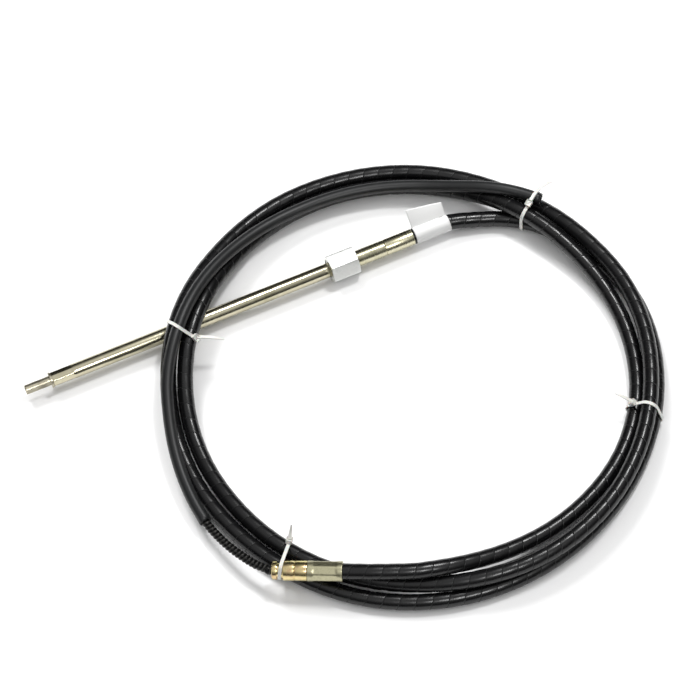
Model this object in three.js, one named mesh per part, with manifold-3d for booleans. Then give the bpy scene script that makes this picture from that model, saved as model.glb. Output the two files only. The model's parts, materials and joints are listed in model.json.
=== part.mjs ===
// Boat steering cable, coiled and tied as it is stored: a ribbed black conduit in two and
// a half turns, the steel output end with its sliding ram and hexagon coupling nut, and the
// helm end with its yellow fitting, bare helical core and the plastic tube over that core.
// Millimetres, +Z up, +X along the ram and across the coil. The coil lies on the floor.

import * as THREE from 'three';
import { mergeVertices } from 'three/addons/utils/BufferGeometryUtils.js';
import Module from 'manifold-3d';

const wasm = await Module();
wasm.setup();

// Driving dimensions
const FIT = 0.3;                  // gap left between pieces that touch
const CONDUIT_DIA = 17;
const CORE_DIA = 9.5;
const SPENT_TUBE_DIA = 13;
const SPENT_TUBE_WALL = 1.2;

const NUT_ACROSS_FLATS = 28.6;
const NUT_LENGTH = 31;
const NUT_CHAMFER = 1.6;
const NUT_THREAD_DIA = 21;        // minor diameter of the 7/8 inch thread, left plain
const NUT_THREAD_DEPTH = 18.5;

const FERRULE_DIA = 17.8;
const FERRULE_GROOVE_AT = 33;     // from the conduit's end of the ferrule
const FERRULE_GROOVE_WIDTH = 1;
const FERRULE_GROOVE_DEPTH = 0.5;
const FERRULE_LENGTH = 67.5;      // conduit's end to the coupling nut
const FLANGE_DIA = 20;            // holds the coupling nut, inside it
const FLANGE_WIDTH = 3;

const RAM_DIA = 15.9;
const RAM_BORE = 12.6;
const RAM_LENGTH = 333.8;
const RAM_CRIMP_LENGTH = 25;
const RAM_CRIMP_FLATS = 14.8;
const SUPPORT_TUBE_WALL = 1.8;
const SUPPORT_TUBE_SEAT = 18;     // how deep it sits in the ferrule
const SUPPORT_TUBE_SHORT = 20;    // from its end to the end fitting's shank, ram drawn in
const END_COLLAR_DIA = 17;
const END_COLLAR_WIDTH = 2;
const END_SHANK_LENGTH = 34;
const END_DIA = 10.7;
const END_FLATS = 7.8;
const END_LENGTH = 28;
const END_CHAMFER = 0.8;

const CRIMP_SLEEVE_DIA = 21;
const CRIMP_SLEEVE_LENGTH = 36;
const CRIMP_SLEEVE_FLATS = 19.4;
const CRIMP_SLEEVE_PLAIN = 5;     // round stretch left at each end
const FITTING_DIA = 20.5;
const FITTING_LENGTH = 24.5;
const FITTING_GROOVE_AT = 12;
const FITTING_GROOVE_WIDTH = 1.2;
const FITTING_GROOVE_DEPTH = 0.6;
const NECK_DIA = 15;
const NECK_LENGTH = 6.2;
const HEAD_DIA = 19;
const HEAD_WIDTH = 5;

const LABEL_LENGTH = 38;
const LABEL_SET_BACK = 3;         // bare conduit between ferrule and label
const LABEL_THICKNESS = 0.5;
const LABEL_FLAG = 21;
const LABEL_LEAN = 48;            // degrees that the flag leans back from upright

const STRAP_WIDTH = 3.6;
const STRAP_THICKNESS = 1.2;
const TIE_HEAD_LENGTH = 7;
const TIE_HEAD_WIDTH = 6.6;
const TIE_HEAD_HEIGHT = 5;

// Sides of the round shapes, and how far a cutting solid runs past what it cuts
const CORD_SIDES = 12;
const TURNED_SIDES = 32;
const SMALL_SIDES = 24;
const CORNER_SIDES = 8;
const NUT_SIDES = 6;
const CRIMP_SIDES = 8;
const OVERCUT = 1;

// Where each tie stands: its place on the coil in degrees clockwise from +X and from the
// middle, the plan direction of its loop, and where its head sits on the loop. The tail's
// points are outward and upward from the head's seat; turn swings the tail in plan.
const TIES = {
  tie_top: {
    angle: -59,
    radius: 246,
    heading: 59,
    seat: 95,
    turn: 0,
    tail: [[2, 3.9], [12, 4.6], [20, 1.5], [29, -4.5], [38, -12], [48, -22], [56, -30]],
  },
  tie_right: {
    angle: 7,
    radius: 246,
    heading: -20,
    seat: 150,
    turn: 0,
    tail: [[-2, 4], [-9, 7], [-16, 9], [-22, 10]],
  },
  tie_left: {
    angle: -167.3,
    radius: 249,
    heading: 146,
    seat: 170,
    turn: -34,
    tail: [[-3, 2], [-12, 1.5], [-21, 0], [-31, -3]],
  },
};
const HELM_TIE = { turned: 84, seat: 172, turn: 0, tail: [[-2, 4], [-8, 9], [-13, 15]] };
const TIE_REACH = 36;             // how far from the middle of a tie its cords may lie
const HELM_TIE_REACH = 60;

// The conduit's way: degrees clockwise from +X, radius from the coil's middle, height.
// The first pass lies outermost, the second rides on it at the right, the third lies inside.
const OUTPUT_END = { x: 0, y: 182, heading: 24.6, straight: 44 };
const HELM_END = { x: -70.3, y: -219.3, z: 32.4, heading: 177.5, dip: 3.5, straight: 30 };
const CONDUIT_WAY = [
  [-79, 204.3, 14.3],
  [-72, 215.5, 11.6],
  [-66, 226, 10.4],
  [-60, 235.5, 10.3],
  [-54, 242, 9.8],
  [-45, 248.5, 8.5],
  [-36, 254.5, 8.5],
  [-25, 259.5, 8.5],
  [-12, 258.5, 9.2],
  [5, 254, 10.3],
  [20, 249, 9],
  [40, 244, 8.5],
  [60, 242, 8.5],
  [80, 242, 8.5],
  [100, 243, 8.6],
  [124, 244, 10.3],
  [140, 246, 9],
  [150, 248.5, 8.6],
  [160, 251, 9.5],
  [170, 254, 14],
  [180, 256.3, 22],
  [190, 257.8, 31.4],
  [198, 258.3, 33.4],
  [206, 259.3, 30.5],
  [216, 262.3, 20.5],
  [226, 266.4, 12.5],
  [236, 269, 9],
  [250, 268.6, 8.6],
  [270, 266.4, 8.6],
  [284, 262.5, 9.6],
  [296, 257.5, 14],
  [304, 254.2, 21.8],
  [311, 252.6, 25.5],
  [320, 252.4, 26.7],
  [332, 253.5, 27],
  [346, 251.8, 26.8],
  [360, 248.5, 26.8],
  [376, 246, 27],
  [395, 243.5, 26.6],
  [416, 238.8, 25.9],
  [428, 234.7, 25.1],
  [440, 229.8, 20.9],
  [452, 226, 16],
  [470, 225, 13.5],
  [490, 226.5, 12],
  [505, 228.7, 10.3],
  [520, 233, 9.4],
  [530, 236.2, 14],
  [540, 238.6, 22],
  [550, 240, 31.4],
  [558, 240.5, 33.4],
  [566, 241.5, 30.5],
  [576, 244.5, 20.5],
  [586, 248.5, 12.5],
  [596, 250.5, 9],
  [610, 250.6, 8.6],
  [628, 248.5, 8.8],
  [638, 246, 10.8],
  [646, 242.5, 16.8],
  [653, 238.5, 24.6],
  [660, 235.5, 28.8],
  [668, 234.5, 27.5],
  [676, 234.4, 23.8],
  [688, 235.8, 16.8],
  [700, 236.7, 11.7],
  [712, 236, 10.3],
  [724, 234.2, 10.5],
  [739.5, 229.1, 10.5],
  [751, 223.6, 10.3],
  [760, 219.2, 10.4],
  [770, 215.3, 12],
  [780, 212.8, 16],
  [789.5, 212.6, 21.9],
  [797.8, 214.5, 28.4],
  [804, 217, 32.5],
  [810, 219.5, 34],
  [820.4, 224.3, 34.2],
];

// The plastic tube's way, the same three values, from the bare core's side onwards
const SPENT_TUBE_WAY = [
  [-216.5, 264, 16.5],
  [-208, 261.5, 19.4],
  [-200, 259.2, 22.8],
  [-190, 256.8, 30.2],
  [-180, 255.8, 38.2],
  [-170, 252.5, 45.3],
  [-160, 250.2, 46],
  [-150, 248.5, 41],
  [-140, 247, 33.2],
  [-130, 245.8, 26.6],
  [-120, 244, 23.2],
  [-105, 242, 22.4],
  [-90, 240.5, 23.2],
  [-85, 240.3, 24.8],
  [-80, 240.6, 28.4],
  [-75, 242.3, 32.6],
  [-70, 245.7, 35.7],
  [-66, 249.3, 35.9],
  [-62, 252.8, 35.3],
  [-57.5, 256, 35.3],
];
const CORE_LEAD = [[-235.6, 260, 27.5], [-232, 262.8, 25.2], [-226, 264, 21], [-221, 264.3, 18.2]];
const STEP = 10;                  // degrees of coil to one straight step of a cord's solid

// Cords
const radians = THREE.MathUtils.degToRad;

function placed([angle, radius, height]) {
  const a = radians(-angle);
  return new THREE.Vector3(radius * Math.cos(a), radius * Math.sin(a), height);
}

function slope(way, k) {
  const from = way[Math.max(k - 1, 0)];
  const to = way[Math.min(k + 1, way.length - 1)];
  return [1, 2].map((n) => (to[n] - from[n]) / (to[0] - from[0]));
}

// Radius and height at any angle, on a smooth curve through the way's rows
function wayAt(way, angle) {
  const last = way.findIndex((row) => row[0] >= angle);
  const k = Math.max(last, 1) - 1;
  const [from, to] = [way[k], way[k + 1]];
  const span = to[0] - from[0];
  const u = (angle - from[0]) / span;
  const [slopeFrom, slopeTo] = [slope(way, k), slope(way, k + 1)];
  const [radius, height] = [1, 2].map((n) => {
    const ends = from[n] + (3 * u * u - 2 * u * u * u) * (to[n] - from[n]);
    const lead = (u * u * u - 2 * u * u + u) * slopeFrom[n - 1];
    const trail = (u * u * u - u * u) * slopeTo[n - 1];
    return ends + (lead + trail) * span;
  });
  return placed([angle, radius, height]);
}

// The way cut into straight steps at whole multiples of STEP, so that passes lie parallel
function steps(way, first, last) {
  const points = [wayAt(way, first)];
  const margin = STEP / 3;
  for (let a = Math.ceil((first + margin) / STEP) * STEP; a < last - margin; a += STEP) {
    points.push(wayAt(way, a));
  }
  points.push(wayAt(way, last));
  return points;
}

class SteppedPath extends THREE.Curve {
  constructor(points) {
    super();
    this.points = points;
  }

  getPointAt(u) {
    return this.points[Math.round(u * (this.points.length - 1))].clone();
  }

  getTangentAt(u) {
    const k = Math.round(u * (this.points.length - 1));
    const from = this.points[Math.max(k - 1, 0)];
    const to = this.points[Math.min(k + 1, this.points.length - 1)];
    return to.clone().sub(from).normalize();
  }
}

function ring(radius, sides) {
  return Array.from({ length: sides }, (_, k) => {
    const a = (k * 2 * Math.PI) / sides;
    return new THREE.Vector2(radius * Math.cos(a), radius * Math.sin(a));
  });
}

function cord(points, radius, sides, bore) {
  const section = new THREE.Shape(ring(radius, sides));
  if (bore) section.holes.push(new THREE.Path(ring(bore, sides).reverse()));
  return new THREE.ExtrudeGeometry(section, {
    steps: points.length - 1,
    extrudePath: new SteppedPath(points),
  });
}

// Turned and cut pieces, made along +X
function turned(profile, sides) {
  const outline = profile.map(([along, radius]) => new THREE.Vector2(radius, along));
  return new THREE.LatheGeometry(outline, sides).rotateZ(-Math.PI / 2);
}

// A closed turned profile has to run with its outer side first
function rod(from, to, radius, sides) {
  return turned([[from, 0], [from, radius], [to, radius], [to, 0]], sides);
}

function solid(geometry) {
  const bare = geometry.clone();
  bare.deleteAttribute('normal');
  bare.deleteAttribute('uv');
  const merged = mergeVertices(bare, 1e-4);
  return new wasm.Manifold(new wasm.Mesh({
    numProp: 3,
    vertProperties: new Float32Array(merged.attributes.position.array),
    triVerts: new Uint32Array(merged.index.array),
  }));
}

function shape(body) {
  const mesh = body.getMesh();
  const geometry = new THREE.BufferGeometry();
  geometry.setAttribute('position', new THREE.BufferAttribute(mesh.vertProperties, 3));
  geometry.setIndex(new THREE.BufferAttribute(mesh.triVerts, 1));
  return geometry;
}

function prism(acrossFlats, sides, from, to) {
  const corner = acrossFlats / 2 / Math.cos(Math.PI / sides);
  const turn = Math.PI / sides;
  return rod(from, to, corner, sides).rotateX(turn);
}

function piece(name, geometry, color, roughness, metalness) {
  const material = new THREE.MeshStandardMaterial({ color, roughness, metalness });
  const mesh = new THREE.Mesh(geometry, material);
  mesh.name = name;
  return mesh;
}

const cable = new THREE.Group();

// Conduit: a straight stretch out of each end fitting, and the turns between them
const axisHeight = NUT_ACROSS_FLATS / 2;
const outputEnd = new THREE.Vector3(OUTPUT_END.x, OUTPUT_END.y, axisHeight);
const outputLine = new THREE.Vector3(1, 0, 0)
  .applyAxisAngle(new THREE.Vector3(0, 0, 1), radians(OUTPUT_END.heading));
const helmEnd = new THREE.Vector3(HELM_END.x, HELM_END.y, HELM_END.z);
const helmTurn = new THREE.Euler(0, radians(HELM_END.dip), radians(HELM_END.heading), 'ZYX');
const helmLine = new THREE.Vector3(1, 0, 0).applyEuler(helmTurn);
const coilFrom = CONDUIT_WAY[0][0] + STEP;
const coilTo = CONDUIT_WAY.at(-1)[0] - STEP;
const conduitPoints = [
  outputEnd,
  outputEnd.clone().addScaledVector(outputLine, OUTPUT_END.straight),
  ...steps(CONDUIT_WAY, coilFrom, coilTo),
  helmEnd.clone().addScaledVector(helmLine, -HELM_END.straight),
  helmEnd,
];
cable.add(piece('conduit', cord(conduitPoints, CONDUIT_DIA / 2, CORD_SIDES), 0x1b1c1d, 0.4, 0));

// Plastic tube, open at both ends
const tubePoints = steps(SPENT_TUBE_WAY, SPENT_TUBE_WAY[0][0], SPENT_TUBE_WAY.at(-1)[0]);
const tubeBore = SPENT_TUBE_DIA / 2 - SPENT_TUBE_WALL;
const spentTube = cord(tubePoints, SPENT_TUBE_DIA / 2, CORD_SIDES, tubeBore);
cable.add(piece('spent_tube', spentTube, 0x2a2b2c, 0.6, 0));

// Output end: everything on one level line, +X towards the conduit, 0 at the conduit's end
const output = new THREE.Group();
output.position.copy(outputEnd);
output.rotation.z = radians(OUTPUT_END.heading);
cable.add(output);

const nutRight = -FERRULE_LENGTH;
const nutLeft = nutRight - NUT_LENGTH;
const nutShoulder = nutLeft + NUT_THREAD_DEPTH;
const nutBore = FERRULE_DIA / 2 + FIT;
const nutBlank = solid(prism(NUT_ACROSS_FLATS, NUT_SIDES, nutLeft, nutRight));
const nutCorner = NUT_ACROSS_FLATS / 2 / Math.cos(Math.PI / NUT_SIDES);
const nutFace = nutCorner - NUT_CHAMFER;
const nutCone = solid(turned([
  [nutLeft, 0],
  [nutLeft, nutFace],
  [nutLeft + NUT_CHAMFER / 2, nutCorner + FIT],
  [nutRight - NUT_CHAMFER / 2, nutCorner + FIT],
  [nutRight, nutFace],
  [nutRight, 0],
], TURNED_SIDES));
const nut = nutBlank.intersect(nutCone)
  .subtract(solid(rod(nutLeft - OVERCUT, nutShoulder, NUT_THREAD_DIA / 2, TURNED_SIDES)))
  .subtract(solid(rod(nutShoulder - OVERCUT, nutRight + OVERCUT, nutBore, TURNED_SIDES)));
output.add(piece('coupling_nut', shape(nut), 0xb9bbb9, 0.45, 0.9));

// Ferrule, with the flange inside the nut and the seat of the support tube
const flangeRight = nutShoulder - FIT;
const flangeLeft = flangeRight - FLANGE_WIDTH;
const supportBore = RAM_BORE / 2 - FIT - SUPPORT_TUBE_WALL;
const seatEnd = flangeLeft + SUPPORT_TUBE_SEAT;
const grooveFloor = FERRULE_DIA / 2 - FERRULE_GROOVE_DEPTH;
const ferrule = turned([
  [seatEnd, 0],
  [seatEnd, RAM_BORE / 2],
  [flangeLeft, RAM_BORE / 2],
  [flangeLeft, FLANGE_DIA / 2],
  [flangeRight, FLANGE_DIA / 2],
  [flangeRight, FERRULE_DIA / 2],
  [-FERRULE_GROOVE_AT - FERRULE_GROOVE_WIDTH, FERRULE_DIA / 2],
  [-FERRULE_GROOVE_AT - FERRULE_GROOVE_WIDTH / 2, grooveFloor],
  [-FERRULE_GROOVE_AT, FERRULE_DIA / 2],
  [-FIT - FERRULE_GROOVE_DEPTH, FERRULE_DIA / 2],
  [-FIT, grooveFloor],
  [-FIT, 0],
], TURNED_SIDES);
output.add(piece('output_ferrule', ferrule, 0xb3ad8c, 0.35, 1));

// Support tube, fixed in the ferrule: the ram slides along it
const ramRight = flangeLeft - FIT;
const ramLeft = ramRight - RAM_LENGTH;
const shankRight = ramLeft + END_SHANK_LENGTH;
const supportRight = seatEnd - FIT;
const supportLeft = shankRight + SUPPORT_TUBE_SHORT;
const supportTube = turned([
  [supportLeft, supportBore],
  [supportLeft, RAM_BORE / 2 - FIT],
  [supportRight, RAM_BORE / 2 - FIT],
  [supportRight, supportBore],
  [supportLeft, supportBore],
], SMALL_SIDES);
output.add(piece('support_tube', supportTube, 0xb9b9b5, 0.35, 1));

// Ram tube: round, with its far end crimped to eight flats on the end fitting
const crimpRight = ramLeft + RAM_CRIMP_LENGTH;
const ramTube = solid(rod(crimpRight, ramRight, RAM_DIA / 2, TURNED_SIDES))
  .add(solid(prism(RAM_CRIMP_FLATS, CRIMP_SIDES, ramLeft, crimpRight + OVERCUT)))
  .subtract(solid(rod(ramLeft - OVERCUT, ramRight + OVERCUT, RAM_BORE / 2, SMALL_SIDES)));
output.add(piece('ram_tube', shape(ramTube), 0xc9c3a8, 0.2, 1));

// End fitting: a shank in the crimp, a collar and a tip with two flats
const collarRight = ramLeft - FIT;
const collarLeft = collarRight - END_COLLAR_WIDTH;
const tipLeft = collarLeft - END_LENGTH;
const endTurned = solid(turned([
  [tipLeft, 0],
  [tipLeft, END_DIA / 2 - END_CHAMFER],
  [tipLeft + END_CHAMFER, END_DIA / 2],
  [collarLeft, END_DIA / 2],
  [collarLeft, END_COLLAR_DIA / 2],
  [collarRight, END_COLLAR_DIA / 2],
  [collarRight, RAM_BORE / 2 - FIT],
  [shankRight, RAM_BORE / 2 - FIT],
  [shankRight, 0],
], SMALL_SIDES));
const flatCut = new THREE.BoxGeometry(END_LENGTH * 2, END_DIA, END_DIA * 2);
const endFitting = [1, -1].reduce((body, side) => {
  const middle = side * (END_FLATS + END_DIA) / 2;
  return body.subtract(solid(flatCut.clone().translate(collarLeft - END_LENGTH, middle, 0)));
}, endTurned);
output.add(piece('ram_end', shape(endFitting), 0xa9a389, 0.35, 1));

// Label: a strip round the conduit whose two ends stick together as a flag
const labelInner = CONDUIT_DIA / 2 + FIT;
const labelOuter = labelInner + LABEL_THICKNESS;
const flagHalf = LABEL_THICKNESS;
const labelShape = new THREE.Shape();
const flagSpread = Math.asin(flagHalf / labelOuter);
labelShape.absarc(0, 0, labelOuter, flagSpread, 2 * Math.PI - flagSpread, false);
labelShape.lineTo(labelOuter + LABEL_FLAG, -flagHalf);
labelShape.lineTo(labelOuter + LABEL_FLAG, flagHalf);
labelShape.closePath();
labelShape.holes.push(new THREE.Path(ring(labelInner, SMALL_SIDES).reverse()));
const label = new THREE.ExtrudeGeometry(labelShape, {
  depth: LABEL_LENGTH,
  bevelEnabled: false,
  curveSegments: SMALL_SIDES / 2,
});
label.rotateY(-Math.PI / 2).rotateX(-radians(LABEL_LEAN));
label.translate(LABEL_SET_BACK + LABEL_LENGTH, 0, 0);
output.add(piece('label', label, 0xf2f2f0, 0.6, 0));

// Helm end: crimped sleeve on the conduit, then the yellow fitting with its neck and head
const helm = new THREE.Group();
helm.position.copy(helmEnd);
helm.rotation.copy(helmTurn);
cable.add(helm);

const sleeveRound = rod(FIT, CRIMP_SLEEVE_LENGTH, CRIMP_SLEEVE_DIA / 2, SMALL_SIDES);
const sleeveCut = solid(prism(CRIMP_SLEEVE_FLATS, CRIMP_SIDES,
  CRIMP_SLEEVE_PLAIN, CRIMP_SLEEVE_LENGTH - CRIMP_SLEEVE_PLAIN));
const sleeveBand = solid(rod(CRIMP_SLEEVE_PLAIN, CRIMP_SLEEVE_LENGTH - CRIMP_SLEEVE_PLAIN,
  CRIMP_SLEEVE_DIA, SMALL_SIDES));
const crimpSleeve = solid(sleeveRound).subtract(sleeveBand.subtract(sleeveCut));
helm.add(piece('helm_crimp_sleeve', shape(crimpSleeve), 0xa8a288, 0.45, 1));

const fittingFrom = CRIMP_SLEEVE_LENGTH + FIT;
const fittingGroove = fittingFrom + FITTING_GROOVE_AT;
const neckFrom = fittingFrom + FITTING_LENGTH;
const headFrom = neckFrom + NECK_LENGTH;
const headTo = headFrom + HEAD_WIDTH;
const headChamfer = FITTING_GROOVE_DEPTH;
const fitting = turned([
  [fittingFrom, 0],
  [fittingFrom, FITTING_DIA / 2],
  [fittingGroove, FITTING_DIA / 2],
  [fittingGroove + FITTING_GROOVE_WIDTH / 2, FITTING_DIA / 2 - FITTING_GROOVE_DEPTH],
  [fittingGroove + FITTING_GROOVE_WIDTH, FITTING_DIA / 2],
  [neckFrom, FITTING_DIA / 2],
  [neckFrom, NECK_DIA / 2],
  [headFrom, NECK_DIA / 2],
  [headFrom, HEAD_DIA / 2],
  [headTo - headChamfer, HEAD_DIA / 2],
  [headTo, HEAD_DIA / 2 - headChamfer],
  [headTo, 0],
], TURNED_SIDES);
helm.add(piece('helm_fitting', fitting, 0xd9b45a, 0.35, 1));

// Helical core: out of the fitting's head, over to the plastic tube and on inside it
const coreOut = helmEnd.clone().addScaledVector(helmLine, headTo + FIT);
const corePoints = [
  coreOut,
  coreOut.clone().addScaledVector(helmLine, CORE_DIA / 2),
  ...CORE_LEAD.map(placed),
  ...tubePoints.slice(0, -1),
];
cable.add(piece('helical_core', cord(corePoints, CORE_DIA / 2, CORD_SIDES), 0x202020, 0.5, 0.6));

// Cable ties. Each strap runs in an upright plane, round all that it holds there.
function crossing(points, radius, plane) {
  const found = [];
  for (let k = 0; k < points.length - 1; k += 1) {
    const line = points[k + 1].clone().sub(points[k]).normalize();
    const side = new THREE.Vector3(0, 0, 1).cross(line).normalize();
    const up = line.clone().cross(side);
    for (let a = 0; a < 2 * Math.PI; a += (2 * Math.PI) / SMALL_SIDES) {
      const off = side.clone().multiplyScalar(radius * Math.cos(a))
        .addScaledVector(up, radius * Math.sin(a));
      const from = points[k].clone().add(off).sub(plane.origin);
      const to = points[k + 1].clone().add(off).sub(plane.origin);
      for (const edge of [-STRAP_WIDTH / 2, STRAP_WIDTH / 2]) {
        const u = (edge - from.dot(plane.normal)) / (to.dot(plane.normal) - from.dot(plane.normal));
        if (u < 0 || u > 1) continue;
        const p = from.clone().lerp(to, u);
        if (Math.abs(p.dot(plane.across)) < plane.reach) {
          found.push(new THREE.Vector2(p.dot(plane.across), p.z));
        }
      }
    }
  }
  return found;
}

function hull(points) {
  const sorted = [...points].sort((a, b) => a.x - b.x || a.y - b.y);
  const half = (list) => list.reduce((kept, p) => {
    while (kept.length > 1) {
      const [o, q] = kept.slice(-2);
      if ((q.x - o.x) * (p.y - o.y) - (q.y - o.y) * (p.x - o.x) > 1e-6) break;
      kept.pop();
    }
    return [...kept, p];
  }, []);
  return [...half(sorted).slice(0, -1), ...half(sorted.reverse()).slice(0, -1)];
}

// The outline moved out by a distance, corners rounded by the ring that is carried round it
function grown(outline, by) {
  return hull(outline.flatMap((p) => ring(by, CORNER_SIDES).map((q) => q.clone().add(p))));
}

// A flat strip along points in the tie's plane
function strip(points, width) {
  const side = points.map((p, k) => {
    const from = points[Math.max(k - 1, 0)];
    const to = points[Math.min(k + 1, points.length - 1)];
    const along = to.clone().sub(from).normalize();
    return new THREE.Vector2(-along.y, along.x).multiplyScalar(STRAP_THICKNESS / 2);
  });
  const left = points.map((p, k) => p.clone().add(side[k]));
  const right = points.map((p, k) => p.clone().sub(side[k]));
  const outline = new THREE.Shape([...right, ...left.reverse()]);
  const geometry = new THREE.ExtrudeGeometry(outline, { depth: width, bevelEnabled: false });
  return geometry.translate(0, 0, -width / 2);
}

// The point of an outline on a ray from its middle, and the outline's direction there
function seatOn(outline, angle) {
  const centre = outline.reduce((sum, p) => sum.add(p), new THREE.Vector2())
    .divideScalar(outline.length);
  const ray = new THREE.Vector2(Math.cos(radians(angle)), Math.sin(radians(angle)));
  const from = outline.findIndex((p, k) => {
    const a = p.clone().sub(centre);
    const b = outline[(k + 1) % outline.length].clone().sub(centre);
    return ray.dot(a) + ray.dot(b) > 0 && a.cross(ray) >= 0 && ray.cross(b) > 0;
  });
  const start = outline[from];
  const edge = outline[(from + 1) % outline.length].clone().sub(start);
  const along = start.clone().sub(centre).cross(ray) / ray.cross(edge);
  return { at: start.clone().addScaledVector(edge, along), lie: edge.angle() };
}

function tie(name, origin, heading, reach, holds, { seat, turn, tail }) {
  const across = new THREE.Vector3(Math.cos(radians(heading)), Math.sin(radians(heading)), 0);
  const up = new THREE.Vector3(0, 0, 1);
  const plane = {
    origin: new THREE.Vector3(origin.x, origin.y, 0),
    across,
    normal: up.clone().cross(across),
    reach,
  };
  const held = hull(holds.flatMap(([points, radius]) => crossing(points, radius, plane)));
  const inner = grown(held, FIT);
  const band = new THREE.Shape(grown(held, FIT + STRAP_THICKNESS));
  band.holes.push(new THREE.Path([...inner].reverse()));
  const strap = new THREE.ExtrudeGeometry(band, { depth: STRAP_WIDTH, bevelEnabled: false });
  strap.translate(0, 0, -STRAP_WIDTH / 2);

  const { at, lie } = seatOn(inner, seat);
  const head = new THREE.BoxGeometry(TIE_HEAD_LENGTH, TIE_HEAD_HEIGHT, TIE_HEAD_WIDTH);
  head.translate(0, -TIE_HEAD_HEIGHT / 2 - FIT / 2, 0).rotateZ(lie).translate(at.x, at.y, 0);
  const end = strip(tail.map(([out, rise]) => new THREE.Vector2(out, rise)), STRAP_WIDTH);
  end.rotateY(-radians(turn)).translate(at.x, at.y, 0);
  const joined = solid(strap).add(solid(head)).add(solid(end));
  const stand = new THREE.Matrix4().makeBasis(across, up, across.clone().cross(up));
  stand.setPosition(plane.origin);
  cable.add(piece(name, shape(joined).applyMatrix4(stand), 0xf4f4f2, 0.4, 0));
}

const conduitHeld = [conduitPoints, CONDUIT_DIA / 2];
const tubeHeld = [tubePoints, SPENT_TUBE_DIA / 2];
for (const [name, { angle, radius, heading, ...head }] of Object.entries(TIES)) {
  tie(name, placed([angle, radius, 0]), heading, TIE_REACH, [conduitHeld, tubeHeld], head);
}
const neckPoints = [neckFrom, headFrom].map((along) => (
  helmEnd.clone().addScaledVector(helmLine, along)));
const neckMiddle = neckPoints[0].clone().lerp(neckPoints[1], 0.5);
const neckHeld = [neckPoints, NECK_DIA / 2];
tie('tie_bottom', neckMiddle, HELM_END.heading + HELM_TIE.turned, HELM_TIE_REACH,
  [conduitHeld, neckHeld], HELM_TIE);

// Origin: middle of the whole part's box, on the floor
const box = new THREE.Box3().setFromObject(cable);
const middle = box.getCenter(new THREE.Vector3());
cable.position.set(-middle.x, -middle.y, -box.min.z);

const part = new THREE.Group();
part.add(cable);

export default part;
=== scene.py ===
# Boat steering cable, coiled and tied as it is stored: a black conduit in two and a half
# turns, the steel output end with its sliding ram and hexagon nut, and the helm end with
# its yellow fitting, the bare helical core and the plastic tube that covers the core.
# Metres, +Z up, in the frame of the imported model.

import bisect
import json
import math

import bmesh
import bpy
from mathutils import Matrix, Vector


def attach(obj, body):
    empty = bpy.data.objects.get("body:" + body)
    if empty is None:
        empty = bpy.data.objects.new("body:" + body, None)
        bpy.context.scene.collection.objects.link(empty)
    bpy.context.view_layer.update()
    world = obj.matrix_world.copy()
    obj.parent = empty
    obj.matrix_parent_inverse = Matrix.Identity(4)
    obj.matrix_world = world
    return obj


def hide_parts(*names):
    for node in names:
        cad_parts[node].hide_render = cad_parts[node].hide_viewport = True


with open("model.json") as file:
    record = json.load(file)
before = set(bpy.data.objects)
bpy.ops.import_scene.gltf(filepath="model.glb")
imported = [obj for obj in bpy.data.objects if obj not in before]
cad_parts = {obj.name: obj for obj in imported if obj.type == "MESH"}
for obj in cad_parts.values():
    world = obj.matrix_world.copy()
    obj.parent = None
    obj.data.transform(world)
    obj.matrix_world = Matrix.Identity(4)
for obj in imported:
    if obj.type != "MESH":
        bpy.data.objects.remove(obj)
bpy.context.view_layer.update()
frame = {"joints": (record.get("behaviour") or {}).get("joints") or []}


# Conduit: an extruded black polyethylene jacket over a wrap of flat wire, whose edges show
# through as a shallow step every pitch. It is wound by hand, and each turn lies beside or
# on the one before it. Its two ends are straight, because the end fittings hold them.
CONDUIT_DIAMETER = 0.017
WRAP_PITCH = 0.0165
WRAP_SWELL = 0.00022              # how far the jacket swells between two grooves
CONDUIT_SIDES = 24
RINGS_PER_WRAP = 8
JACKET_BLACK = "#0b0b0c"
JACKET_IOR = 1.45
MERGE_DISTANCE = 1e-6
SHARP_ANGLE = math.radians(32)    # edges that bend more than this stay sharp

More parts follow.
